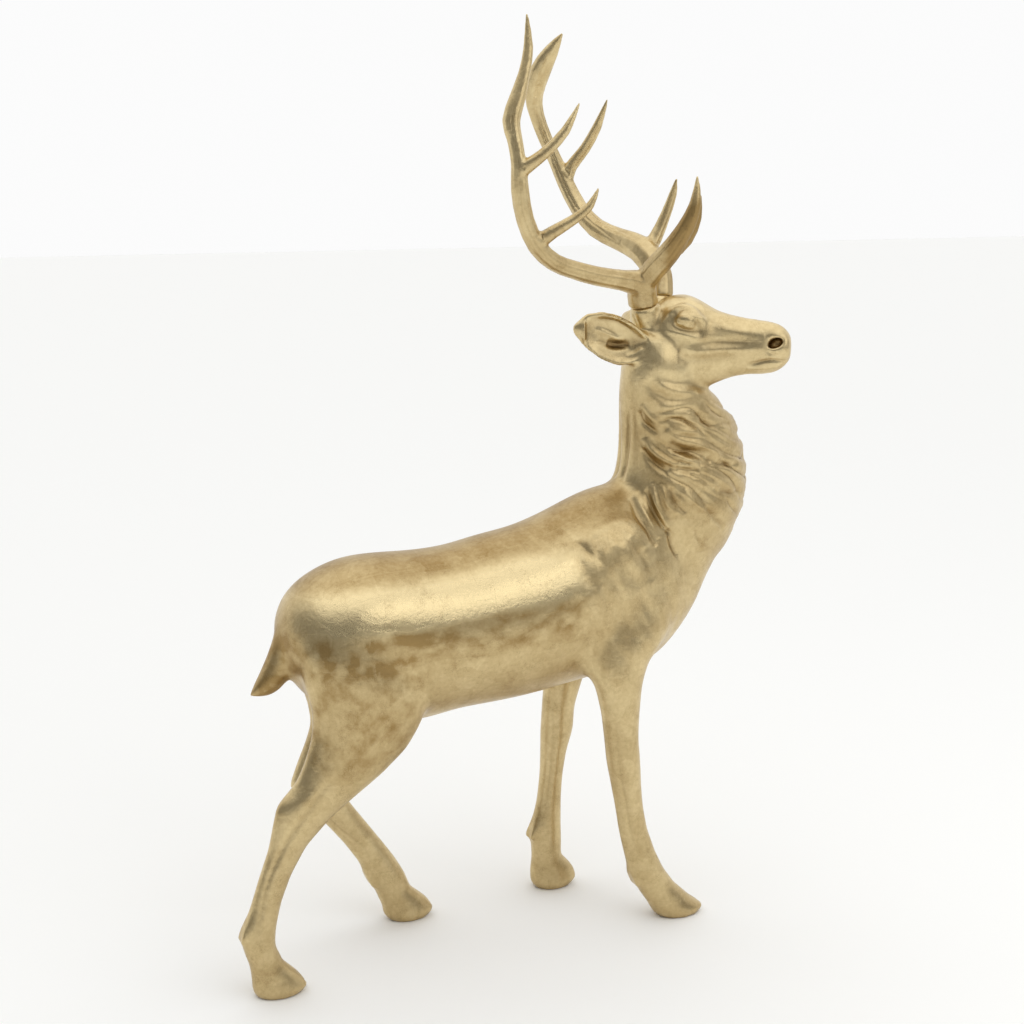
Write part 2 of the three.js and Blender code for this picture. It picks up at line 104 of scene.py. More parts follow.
# Lines drawn into the neck and shoulder, on the right and again on the left: rise, half width, points.
NECK_LINES = [
    (-4.5, 7, [(326, -49, 1182), (332, -38, 1129), (335, -25, 1071), (332, -20, 1034), (326, -21, 1011)]),
    (4.5, 7, [(342, -75, 1190), (354, -83, 1171), (368, -90, 1155), (386, -99, 1144)]),
    (-5, 6, [(341, -70, 1174), (349, -73, 1151), (363, -83, 1136), (379, -90, 1126)]),
    (8, 9, [(355, -69, 1115), (367, -78, 1090), (390, -94, 1070), (418, -110, 1058)]),
    (-7, 8, [(355, -65, 1091), (368, -77, 1065), (387, -90, 1049), (404, -100, 1042)]),
    (7, 9, [(389, -97, 1132), (423, -104, 1113), (460, -111, 1101), (504, -107, 1082), (524, -114, 1062)]),
    (-8, 9, [(397, -100, 1104), (432, -110, 1085), (464, -116, 1076), (499, -117, 1056)]),
    (5, 8, [(413, -103, 1084), (440, -108, 1066), (466, -114, 1055), (494, -116, 1051)]),
    (-8, 7, [(413, -109, 1051), (439, -120, 1045), (470, -117, 1046)]),
    (4, 7, [(395, -103, 1140), (429, -114, 1130), (468, -117, 1130)]),
    (-4, 7, [(463, -114, 1152), (501, -109, 1141), (566, -86, 1136)]),
    (-6, 7, [(487, -117, 1068), (524, -115, 1050), (580, -96, 1045)]),
    (-5, 6, [(518, -118, 995), (553, -110, 983), (596, -87, 980)]),
    (4, 8, [(456, -122, 1029), (480, -121, 1012), (509, -122, 1004)]),
    (6, 7, [(368, -83, 1014), (372, -93, 976), (383, -101, 946), (399, -104, 914)]),
    (-6, 6, [(356, -76, 1000), (366, -89, 961), (384, -100, 925), (406, -103, 900)]),
    (6, 7, [(385, -95, 1014), (392, -107, 977), (415, -106, 944)]),
    (-6, 6, [(402, -104, 1007), (411, -116, 975), (436, -119, 948)]),
    (5, 8, [(340, -61, 994), (344, -79, 961), (358, -100, 927), (374, -109, 894)]),
    (-5, 7, [(328, -63, 980), (329, -95, 944), (348, -108, 912), (363, -118, 879)]),
    (-6, 6, [(399, -103, 914), (407, -104, 879), (422, -106, 847)]),
    (-4, 6, [(463, -114, 908), (468, -119, 887), (490, -100, 860)]),
    (-4, 6, [(486, -123, 954), (517, -108, 925), (545, -92, 904)]),
    (4, 8, [(431, -117, 1002), (452, -121, 973), (483, -119, 949)]),
]
SHOULDER_LINES = [
    (4.8, 25, [(188, -115, 895), (217, -106, 916), (257, -103, 930), (295, -105, 933), (323, -113, 913),
               (335, -124, 880)]),
    (-3.2, 17, [(195, -127, 872), (227, -119, 897), (262, -115, 911), (295, -117, 908)]),
    (-3.2, 17, [(250, -123, 891), (267, -134, 861), (284, -139, 830), (315, -137, 794)]),
    (-2.4, 17, [(181, -116, 891), (176, -128, 864), (189, -141, 830), (206, -146, 806)]),
    (-3.2, 15, [(294, -119, 904), (315, -129, 870), (337, -130, 843), (346, -132, 806)]),
    (-2.4, 15, [(222, -129, 874), (231, -139, 840), (255, -143, 808), (279, -141, 774)]),
]
# Lines drawn into both sides of the head: points are forward, out and up from the poll.
HEAD_LINES = [
    (3.8, 12, [(112, 52, -18), (150, 40, -36), (181, 35, -47), (217, 31, -52), (252, 30, -56)]),
    (-2.2, 9, [(104, 62, -58), (131, 53, -70), (172, 41, -72), (212, 36, -70)]),
    (4.5, 11, [(70, 68, -84), (88, 63, -90), (112, 57, -92), (157, 45, -88), (208, 35, -88), (250, 34, -86)]),
    (-2.2, 9, [(66, 68, -110), (100, 60, -110), (140, 50, -106), (196, 38, -104)]),
    (-6.5, 12, [(4, 98, -152), (15, 96, -168), (32, 91, -183), (57, 81, -194), (84, 68, -195),
                (112, 46, -186)]),
    (1.6, 12, [(21, 94, -150), (49, 89, -166), (78, 74, -172), (104, 40, -168)]),
    (-5, 4, [(212, 30, -122), (232, 30, -117), (246, 30, -113), (265, 30, -110), (288, 23, -111),
             (303, 4, -108)]),
    (3, 6, [(212, 28, -133), (232, 26, -131), (260, 22, -127), (284, 20, -121)]),
    (-2.5, 4, [(254, 33, -84), (262, 32, -94), (276, 29, -99), (290, 24, -98)]),
    (2.5, 9, [(-3, 67, -31), (6, 64, -40), (22, 62, -50)]),
]
# Folds inside the cup of each ear, drawn from the right ear.
EAR_LINES = [
    (4, 5, [(-112, 98, -44), (-100, 94, -46), (-83, 88, -54), (-57, 82, -67)]),
    (-5, 7, [(-106, 96, -66), (-93, 91, -71), (-70, 85, -79), (-41, 80, -75)]),
    (-8, 9, [(-86, 88, -72), (-62, 83, -78), (-36, 79, -76)]),
    (-3, 5, [(-104, 102, -24), (-90, 98, -22), (-62, 94, -28), (-30, 85, -48)]),
    (3, 6, [(-45, 90, -100), (-24, 83, -96), (-8, 82, -84)]),
]
EYE = (82, -26)  # forward and up from the poll
EYE_HALF = (19, 12)  # half its length and height
NOSTRIL = (273, -73)
NOSTRIL_HALF = (13, 7)
NOSTRIL_DEPTH = 14
EAR_HOLLOW = (-52, -75)  # middle of the dark inside the ear
EAR_HOLLOW_HALF = (34, 12)
EAR_FACE = (0.15, 0.5)  # how far a normal points out of the cup where its folds start and are whole
# What smoothing spares: forward, out and up from the poll, and how far round it
EYE_SPARED = ((90, 57, -37), 26)
NOSTRIL_SPARED = ((271, 31, -70), 22)

# Grooves beside the leg tendons: the leg's y, then its run of x and height.
TENDONS = (
    (-105, [(-395, 470), (-452, 400), (-503, 330), (-538, 262), (-551, 205), (-562, 150)]),
    (117, [(-335, 470), (-370, 400), (-388, 350), (-318, 255), (-262, 205), (-236, 155)]),
    (-118, [(255, 510), (264, 400), (283, 310), (298, 235), (318, 165)]),
    (134, [(222, 510), (222, 400), (216, 310), (207, 235), (197, 165)]),
)
TENDON_OFF = 26  # from the leg's middle to either groove
TENDON_WIDTH = 7

# The run of each antler's beam and tines, forward, out and up from the poll, with its radius.
BEAMS = {
    "antler_right": (-1, [
        [(-20, 62, 52, 30), (-100, 120, 71, 23), (-187, 175, 103, 21), (-241, 215, 192, 20),
         (-252, 228, 305, 17), (-270, 219, 392, 20), (-246, 200, 489, 13), (-245, 182, 600, 4)],
        [(-5, 68, 66, 27), (47, 92, 123, 25), (80, 100, 173, 20), (102, 92, 275, 4)],
        [(-205, 198, 156, 17), (-142, 190, 193, 12), (-95, 172, 252, 4)],
        [(-236, 229, 300, 17), (-189, 225, 335, 13), (-132, 205, 420, 4)],
    ]),
    "antler_left": (1, [
        [(-1, 60, 80, 30), (-96, 135, 140, 27), (-199, 200, 207, 21), (-260, 228, 315, 17),
         (-303, 222, 417, 18), (-291, 200, 514, 25), (-238, 182, 590, 4)],
        [(10, 66, 90, 21), (62, 90, 143, 18), (93, 90, 235, 4)],
        [(-20, 88, 124, 20), (13, 110, 194, 13), (37, 102, 270, 4)],
        [(-228, 222, 285, 18), (-191, 222, 339, 14), (-136, 200, 445, 4)],
    ]),
}
FURROWS = 6  # round the beam, a deep one and a shallow one in turn
FURROW_START = 0.5  # radians
FURROW_WIDTH = 3.5
SHALLOW = 0.6  # of the depth of a deep one
THIN = 11  # an antler of this radius or less has no furrows

# Studio, in metres
FLOOR_HALF = 30.0
BACKDROP = (0.407, 0.914, 0.0)  # the way from the camera to the figure
BACKDROP_EDGE = (-0.35, 0.45)  # where the backdrop fades in, 1 being straight behind the figure
CEILING_EDGE = (0.4, 0.9)  # where the ceiling fades in, 1 being straight up
SOFTBOX_AT = (1.5, -3.1, 2.65)
SOFTBOX_AIM = (0.0, 0.0, 0.9)
SOFTBOX_SIDES = (3.4, 1.8)
CAMERA_AT = (-1.3494, -3.1939)
CAMERA_DOWN = math.radians(12.065)
CAMERA_TURN = math.radians(-24)
LENS_MM = 56.25
SENSOR_MM = 36.0


# ---------------------------------------------------------------- settings

def linear(hex_colour):
    """An sRGB colour such as "c8a86b" as three linear numbers."""
    parts = [int(hex_colour[k:k + 2], 16) / 255 for k in (0, 2, 4)]
    return tuple(c / 12.92 if c <= 0.04045 else ((c + 0.055) / 1.055) ** 2.4 for c in parts)


def size(name, description, default):
    """A length that the user can change, in metres."""
    return FloatProperty(name=name, description=description, default=default, unit="LENGTH", precision=4)


def shade(name, description, hex_colour):
    """A colour that the user can change."""
    return FloatVectorProperty(
        name=name, description=description, default=linear(hex_colour), subtype="COLOR", size=3, min=0, max=1
    )


def amount(name, description, default, **more):
    """A plain number that the user can change, never below 0."""
    return FloatProperty(name=name, description=description, default=default, min=0, **more)


class StagForm(bpy.types.PropertyGroup):
    """How fine the skins are and how high their relief stands."""

    body_grain: size("Body grain", "Side of the body skin's faces before thinning", 0.0036)
    antler_grain: size("Antler grain", "Side of the antler skin's faces", 0.0023)
    lock_width: size("Lock width", "From one lock of the mane to the next", 0.027)
    lock_rise: size("Lock rise", "Height of a lock's crest over the groove beside it", 0.0065)
    strand_rise: size("Strand rise", "Depth of the combed strands on a lock", 0.0013)
    fold_rise: size("Fold rise", "Depth of the loose folds of hide on the shoulder", 0.0024)
    shoulder_rise: size("Shoulder rise", "How far the shoulder blade's head stands out", 0.008)
    tendon_depth: size("Tendon depth", "Depth of the grooves beside the leg tendons", 0.0034)
    furrow_depth: size("Furrow depth", "Depth of the furrows along the antlers", 0.0015)


class StagFinish(bpy.types.PropertyGroup):
    """The leaf: its colours, its sheets and its gloss."""

    # Whole leaf is also the painted highlight on the flank; dulled leaf is also the painted shade.
    leaf: shade("Leaf", "Gold leaf where it is whole", "e2ce9f")
    leaf_dulled_and_shaded: shade("Dulled leaf", "Gold leaf where handling and weather have dulled it", "a28758")
    # The colour of the shade painted in hollows, nostrils and ear cups, and of the laps and bare bronze.
    toning_and_shade: shade("Toning", "Brown toning left in the hollows", "75592f")
    sheet: size("Sheet", "Side of a laid sheet of leaf", 0.080)
    lap: size("Lap", "Width of the line where two sheets meet", 0.0016)
    wrinkle: size("Wrinkle", "Height of the wrinkles that catch the light", 0.0064)
    satin: amount("Satin", "Roughness of leaf that is whole", 0.27, max=1)
    satin_dull: amount("Dulled satin", "Roughness of leaf that has dulled", 0.41, max=1)


class StagStudio(bpy.types.PropertyGroup):
    """The floor, the light and the height of the camera."""

    floor: shade("Floor", "Colour of the floor", "fafaf8")
    camera_height: size("Camera height", "Height of the lens above the floor", 1.6889)
    paper: amount("Backdrop", "Brightness of the backdrop behind the figure", 0.97)
    room: amount("Room", "Brightness of the room behind the camera", 0.24)
    ceiling: amount("Ceiling", "Brightness of the ceiling", 1.28)
    key: amount("Key light", "Power of the softbox over the flank", 20.0, unit="POWER")


# ---------------------------------------------------------------- skins as arrays

def through(rows, steps):
    """A smooth curve through rows of numbers, in so many steps from one row to the next."""
    rows = np.asarray(rows, float)
    last = len(rows) - 1
    out = []
    for i in range(last):
        before, after = rows[max(i - 1, 0)], rows[min(i + 2, last)]
        leave, arrive = (rows[i + 1] - before) / 2, (after - rows[i]) / 2
        for k in range(steps):
            t = k / steps
            out.append(
                (2 * t**3 - 3 * t**2 + 1) * rows[i] + (t**3 - 2 * t**2 + t) * leave
                + (3 * t**2 - 2 * t**3) * rows[i + 1] + (t**3 - t**2) * arrive
            )
    out.append(rows[last])
    return np.array(out)


def rise(values, start, end):
    """0 at start, 1 at end, smooth between them."""
    t = np.clip((values - start) / (end - start), 0, 1)
    return t * t * (3 - 2 * t)


def between(values, start, full, fade, end):
    """0 up to start and past end, 1 from full to fade, smooth on the way."""
    return rise(values, start, full) * (1 - rise(values, fade, end))


def mound(away, power=2):
    """1 in the middle and next to nothing well past 1. The higher the power, the flatter its top."""
    return np.exp(-(np.abs(away) ** power))


def ripple(points, scale, seed):
    """Smooth noise, about -1 to 1, that changes over scale millimetres."""
    gain = 1.6  # the noise itself keeps to about 0.6 either way
    return np.fromiter((noise.noise(p) for p in (points / scale + seed).tolist()), float, len(points)) * gain


class Skin:
    """A dense mesh's points in the figure's frame, in millimetres, moved in bulk."""

    def __init__(self, piece):
        self.mesh = piece.data
        count = len(self.mesh.vertices)
        flat = np.empty(count * 3)
        self.mesh.vertices.foreach_get("co", flat)
        self.points = flat.reshape(-1, 3) / MM - FIGURE_AT
        ends = np.empty(len(self.mesh.edges) * 2, np.int64)
        self.mesh.edges.foreach_get("vertices", ends)
        self.ends = ends.reshape(-1, 2).T
        self.valence = np.bincount(self.ends.ravel(), minlength=count)

    def spread(self, values, pull, passes):
        """Each value drawn towards the mean of its neighbours."""
        a, b = self.ends
        count = len(self.points)
        values = values.copy()
        columns = values if values.ndim == 2 else values[:, None]
        for _ in range(passes):
            for k in range(columns.shape[1]):
                column = columns[:, k]
                total = np.bincount(a, column[b], count) + np.bincount(b, column[a], count)
                column += pull * (total / self.valence - column)
        return values

    def smooth(self, pull, passes):
        """Facets go and the girth stays: what the first smoothing took away is smoothed and given back."""
        once = self.spread(self.points, pull, passes)
        self.points = once + self.spread(self.points - once, pull, passes)
        self.store()

    def store(self):
        """Gives the mesh its points back."""
        self.mesh.vertices.foreach_set("co", ((self.points + FIGURE_AT) * MM).ravel())
        self.mesh.update()

    def normals(self):
        """The way out of the surface at each point."""
        flat = np.empty(len(self.points) * 3)
        self.mesh.vertex_normals.foreach_get("vector", flat)
        return flat.reshape(-1, 3)

    def lift(self, height):
        """Moves each point out of the surface by its height in millimetres."""
        self.points += self.normals() * height[:, None]
        self.store()

    def dips(self):
        """How far each point lies below its surroundings, in millimetres."""
        return ((self.spread(self.points, *DIP_SMOOTHING) - self.points) * self.normals()).sum(1)

    def paint(self, name, values):
        """Keeps one number per point for the material."""
        layer = self.mesh.attributes.new(name, "FLOAT", "POINT")
        layer.data.foreach_set("value", values.astype(np.float32))


def drawn(points, normals, lines):
    """The height that drawn lines give each point. A line's profile is a soft ridge or groove."""
    height = np.zeros(len(points))
    for top, width, path in lines:
        line = through(path, 4)
        reach = 3 * width + 12  # past this the line gives next to nothing
        inside = np.all((points > line.min(0) - reach) & (points < line.max(0) + reach), axis=1)
        near = inside.nonzero()[0]
        p, n = points[near], normals[near]
        best, place = np.full(len(near), np.inf), np.zeros(len(near))
        for k, (a, b) in enumerate(zip(line, line[1:])):
            t = np.clip((p - a) @ (b - a) / ((b - a) @ (b - a)), 0, 1)
            gap = p - a - t[:, None] * (b - a)
            gap -= n * (gap * n).sum(1)[:, None]
            distance = np.linalg.norm(gap, axis=1)
            closer = distance < best
            best = np.where(closer, distance, best)
            place = np.where(closer, (k + t) / (len(line) - 1), place)
        taper = np.sin(np.pi * np.clip(place, 0, 1)) ** 0.6
        height[near] += top * taper * mound(best / width)
    return height


def upright_turn(vectors, angle):
    """Vectors turned about the upright axis."""
    x, y, z = vectors.T
    c, s = math.cos(angle), math.sin(angle)
    return np.stack([c * x - s * y, s * x + c * y, z], 1)


def head_frame(points):
    """Forward, out and up from the poll; out is the same on both sides."""
    forward, left, up = upright_turn(points - HEAD_AT, -HEAD_TURN).T
    return np.stack([forward, np.abs(left), up], 1)


def neck_place(points):
    """Where each point lies on the neck.

    Gives the way round, 0 nape to 1 throat, the height at which its lock's line leaves the nape, and how far
    it is to the left of the neck's middle.
    """
    x, y, z = points.T
    rows = through(NECK, 8)
    back, front, left, half = (np.interp(z, rows[:, 0], rows[:, k]) for k in (1, 2, 3, 4))
    angle = np.arctan2((y - left) / half, (x - (back + front) / 2) / ((front - back) / 2))
    toward = 1 - np.abs(angle) / math.pi
    line = z.copy()
    for _ in range(8):  # the lock that passes each point settles in a few rounds
        line = z + np.interp(line, FALL[:, 0], FALL[:, 1]) * rise(toward, 0, 1)
    return toward, line, y - left


def onto_right(points, normals):
    """Points and normals with the left half mirrored onto the right, where the neck's lines are drawn."""
    _, _, off = neck_place(points)
    left = off > 0
    points, normals = points.copy(), normals.copy()
    points[left, 1] = points[left, 1] - off[left] - off[left]
    normals[left, 1] *= -1
    return points, normals


# ---------------------------------------------------------------- meshes

def copy_of(node, name):
    """A merged copy of a node of the model, as a new piece."""
    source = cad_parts[node]
    mesh = bpy.data.meshes.new(name)
    work = bmesh.new()
    work.from_mesh(source.data)
    bmesh.ops.remove_doubles(work, verts=work.verts, dist=MERGE * MM)
    work.to_mesh(mesh)
    work.free()
    piece = bpy.data.objects.new(name, mesh)
    bpy.context.scene.collection.objects.link(piece)
    return piece


def finished_by(piece, kind, **settings):
    """Gives the piece the mesh that a modifier makes of it."""
    modifier = piece.modifiers.new(kind.title(), kind)
    for name, value in settings.items():
        setattr(modifier, name, value)
    evaluated = piece.evaluated_get(bpy.context.evaluated_depsgraph_get())
    made = bpy.data.meshes.new_from_object(evaluated)
    piece.modifiers.clear()
    old, piece.data = piece.data, made
    bpy.data.meshes.remove(old)


def triangles(mesh):
    """How many triangles the mesh comes to."""
    return sum(len(face.vertices) - 2 for face in mesh.polygons)


def seated(piece, node, material):
    """The piece gets its material and stands for its node."""
    piece.data.materials.clear()
    piece.data.materials.append(material)
    piece.data.shade_smooth()
    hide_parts(node)
    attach(piece, "root")


# ---------------------------------------------------------------- relief, dulling and painted light

def body_pull(points):
    """How readily each point gives way to smoothing: the trunk freely, the hooves and eyes hardly."""
    x, _, z = points.T
    local = head_frame(points)
    f, o, u = local.T
    pull = np.full(len(points), PULL["trunk"])
    for part, share in (
        ("legs", 1 - rise(z, 520, 640)),
        ("hooves", 1 - rise(z, 70, 160)),
        ("tail", 1.0 * ((x < -430) & (z > 600) & (z < 770))),
        ("head", rise(f, -70, -20) * rise(z, 1195, 1215)),
        ("ears", rise(o, 60, 78) * rise(u, -150, -130) * (1 - rise(f, 10, 30)) * rise(z, 1200, 1230)),
        ("antler stumps", rise(u, -10, 8) * (1 - rise(f, 40, 60))),
        ("eyes", 1.0 * (np.linalg.norm(local - EYE_SPARED[0], axis=1) < EYE_SPARED[1])),
        ("nostrils", 1.0 * (np.linalg.norm(local - NOSTRIL_SPARED[0], axis=1) < NOSTRIL_SPARED[1])),
    ):
        pull = pull * (1 - share) + PULL[part] * share
    return pull


def mane(points, form):
    """Locks that fall from the nape to the throat in lapping rows, combed into strands."""
    z = points[:, 2]
    toward, line, _ = neck_place(points)
    girth, nothing = toward * MANE_GIRTH, np.zeros(len(points))
    place = np.stack([girth, line, nothing], 1)
    wander = ripple(place, 80, seed=3.1)
    across = line * MM / form.lock_width + wander + 0.3 * ripple(place, 36, seed=7.7)
    share = across - np.floor(across)  # of the way across a lock
    crest = np.sin(np.pi * share) ** 0.7 - 0.62 + 0.3 * (share - 0.5)  # full, and leaning over the next one
    broken = 0.6 + 0.9 * ripple(np.stack([girth, line * 1.9, nothing], 1), 62, seed=1.3)  # into short locks
    strands = ripple(np.stack([toward * 60, line + 10 * wander, nothing], 1), 7.5, seed=5.0)
    fringe = rise(toward, 0.78, 1.0) * np.sin(z / 10.5 + 2.5 * ripple(points, 90, seed=9.2))
    fringe *= between(z, 700, 820, 1165, 1225)
    where = rise(toward, 0.22, 0.45) * rise(line, 960, 1090) * between(z, 860, 990, 1145, 1212)
    locks = form.lock_rise * crest * np.clip(broken, 0.1, 1.3) + form.strand_rise * strands
    return where * locks / MM * MANE_GAIN + FRINGE_RISE * fringe


def folds(points, form):
    """Loose folds of hide over the shoulder and upper arm, and the head of the shoulder blade."""
    x, y, z = points.T
    leaning = np.stack([x + z * FOLD_LEAN, y * 0.6, (z - x * FOLD_LEAN) * 0.4], 1)  # drawn out upwards
    wave = ripple(leaning, 46, seed=2.2) + 0.4 * ripple(leaning, 19, seed=8.4)
    where = between(x, 110, 200, 400, 520) * between(z, 580, 680, 880, 950)
    along, above = (x - SHOULDER_AT[0]) / SHOULDER_REACH[0], (z - SHOULDER_AT[1]) / SHOULDER_REACH[1]
    blade = mound(along) * mound(above)
    return rise(np.abs(y), 60, 100) * (where * form.fold_rise * wave + form.shoulder_rise * blade) / MM


def eyes(local):
    """The ball in its socket, its two lids and the slit between them; local is the head's frame.

    Heights are in millimetres, and distances in units of the eye: 0 at its middle, 1 at its rim.
    """
    f, o, u = local.T
    ahead = (f - EYE[0]) / EYE_HALF[0]
    above = (u - EYE[1] + 0.22 * (f - EYE[0])) / EYE_HALF[1]  # the eye slopes down to the nose
    away = np.hypot(ahead, above + 0.25 * ahead**2)
    ball = 6.5 * mound(away / 0.95, 3)
    socket = -3.0 * mound((away - 1.6) / 0.45) * (1 - 0.5 * rise(above, 0.2, 1.0))
    brow = (1.8 + 2.4 * rise(above, 0.3, 1.3)) * mound((away - 2.45) / 0.5)
    lids = 1.6 * mound((away - 0.95) / 0.16)
    slit = -2.0 * mound((above + 0.12) / 0.16) * (1 - rise(np.abs(ahead), 0.6, 1.0))
    return rise(o, 35, 45) * (ball + socket + brow + lids + slit)


def nostrils(local):
    """How far inside a nostril each point is, 1 in the middle."""
    f, o, u = local.T
    ahead = f - NOSTRIL[0]
    above = u - NOSTRIL[1] - 0.35 * ahead  # it rises towards the tip of the nose
    return mound(np.hypot(ahead / NOSTRIL_HALF[0], above / NOSTRIL_HALF[1]), 2.6) * rise(o, 8, 16)


def ear_hollows(local, turned):
    """How deep inside the cup of an ear each point is, 1 in the middle, where shade is painted; turned is the
    head's normals.
    """
    f, o, u = local.T
    ahead = f - EAR_HOLLOW[0]
    above = u - EAR_HOLLOW[1] - 0.12 * ahead
    away = np.hypot(ahead / EAR_HOLLOW_HALF[0], above / EAR_HOLLOW_HALF[1])
    return mound(away, 2.4) * rise(turned[:, 1], 0.1, 0.4) * rise(o, 66, 76)


def tendons(points, normals, form):
    """Grooves beside the tendons, down the outside and the inside of each leg."""
    depth = -form.tendon_depth / MM
    return drawn(points, normals, [
        (depth, TENDON_WIDTH, [(x, y + side, z) for x, z in rows])
        for y, rows in TENDONS for side in (-TENDON_OFF, TENDON_OFF)
    ])


def wear_and_painted_light(points, normals):
    """Where the leaf has dulled or shade is painted, 1, and where it is still bright or a highlight is
    painted, below 0.
    """
    x, y, z = points.T
    edge = np.interp(x, *BAND_EDGE)
    flank = between(x, -440, -380, 120, 230) * rise(np.abs(y), 40, 90)
    # Painted shade: a strip of darker leaf just under the highlight band.
    below = flank * between(z, edge - 110, edge - 60, edge - 12, edge + 6)
    rump = (1 - rise(x, -250, -150)) * between(z, 420, 520, 740, 780)
    # Random mottling, laid over the painted shade under the band and over the rump.
    mottle = ripple(points * (1.0, 1.0, 1.4), 38, seed=6.1) + 0.7 * ripple(points, 14, seed=4.4)
    wear_and_light = np.full(len(points), WEAR_AND_LIGHT["everywhere"])
    for part, share in (
        # A painted highlight: whole pale leaf in a band along the upper flank.
        ("painted highlight band", flank * between(z, edge - 8, edge + 12, edge + 70, edge + 110)),
        # Painted shade under the highlight band.
        ("painted shade below the band", below),
        ("rump", rump),
        ("neck", rise(x, 330, 380) * between(z, 880, 980, 1180, 1240)),
        ("tail", (1 - rise(x, -470, -440)) * (z > 590)),
        ("feet", 1 - rise(z, 60, 110)),
        # Painted shade: darker leaf on faces that look up, along the back and neck.
        ("painted shade on top", rise(normals[:, 2], 0.6, 0.85) * between(z, 640, 700, 1000, 1040)),
        # Painted shade: darker leaf on faces that look down.
        ("painted shade underneath", rise(-normals[:, 2], 0.3, 0.7) * rise(z, 520, 600)),
        ("head", rise(z, 1215, 1260)),
        ("mottle", np.clip(mottle, -0.4, 0.8) * (below + 0.6 * rump)),
    ):
        wear_and_light += WEAR_AND_LIGHT[part] * share
    return wear_and_light


def antler_wear(points):
    """The same for an antler, whose lower end and brow tines are the dullest."""
    z = points[:, 2]
    return (
        ANTLER_WEAR["everywhere"]
        + ANTLER_WEAR["foot"] * (1 - rise(z, 1470, 1640))
        + ANTLER_WEAR["brow tines"] * rise(head_frame(points)[:, 0], 25, 60) * (1 - rise(z, 1600, 1660))
    )


def furrows(node, form):
    """Lines along an antler, in the figure's frame, evenly round its beam and each thick tine."""
    side, runs = BEAMS[node]
    lines = []
    for run in runs:
        rows = np.array([row for row in run if row[3] > THIN], float)
        if len(rows) < 3:
            continue
        radius = rows[:, 3:]
        middle = upright_turn(rows[:, :3] * (1, side, 1), HEAD_TURN) + HEAD_AT
        ahead = np.gradient(middle, axis=0)
        ahead /= np.linalg.norm(ahead, axis=1)[:, None]
        across = np.cross(ahead, (0.35, 0.9, 0.25))  # any direction that no beam runs along
        across /= np.linalg.norm(across, axis=1)[:, None]
        third = np.cross(ahead, across)
        for k in range(FURROWS):
            turn = 2 * math.pi * k / FURROWS + FURROW_START
            ring = across * math.cos(turn) + third * math.sin(turn)
            deep = form.furrow_depth / MM * (1.0 if k % 2 else SHALLOW)
            lines.append((-deep, FURROW_WIDTH, (middle + ring * radius).tolist()))
    return lines


# ---------------------------------------------------------------- materials

NOISE_ROUGHNESS = 0.62  # how much of the finer noise each noise keeps


def add_node(tree, kind, settings=None, **inputs):
    """Adds a node; inputs are numbers, colours or other nodes' sockets, by the socket's name or index.

    A name's spaces are written _, and an index is written i0, i1 and so on.
    """
    node = tree.nodes.new(kind)
    for name, value in (settings or {}).items():
        setattr(node, name, value)
    for name, value in inputs.items():
        by_index = name[0] == "i" and name[1:].isdigit()
        socket = node.inputs[int(name[1:]) if by_index else name.replace("_", " ")]
        if isinstance(value, bpy.types.NodeSocket):
            tree.links.new(value, socket)
        elif socket.type == "RGBA":
            socket.default_value = (*value, 1.0)
        else:
            socket.default_value = value
    return node


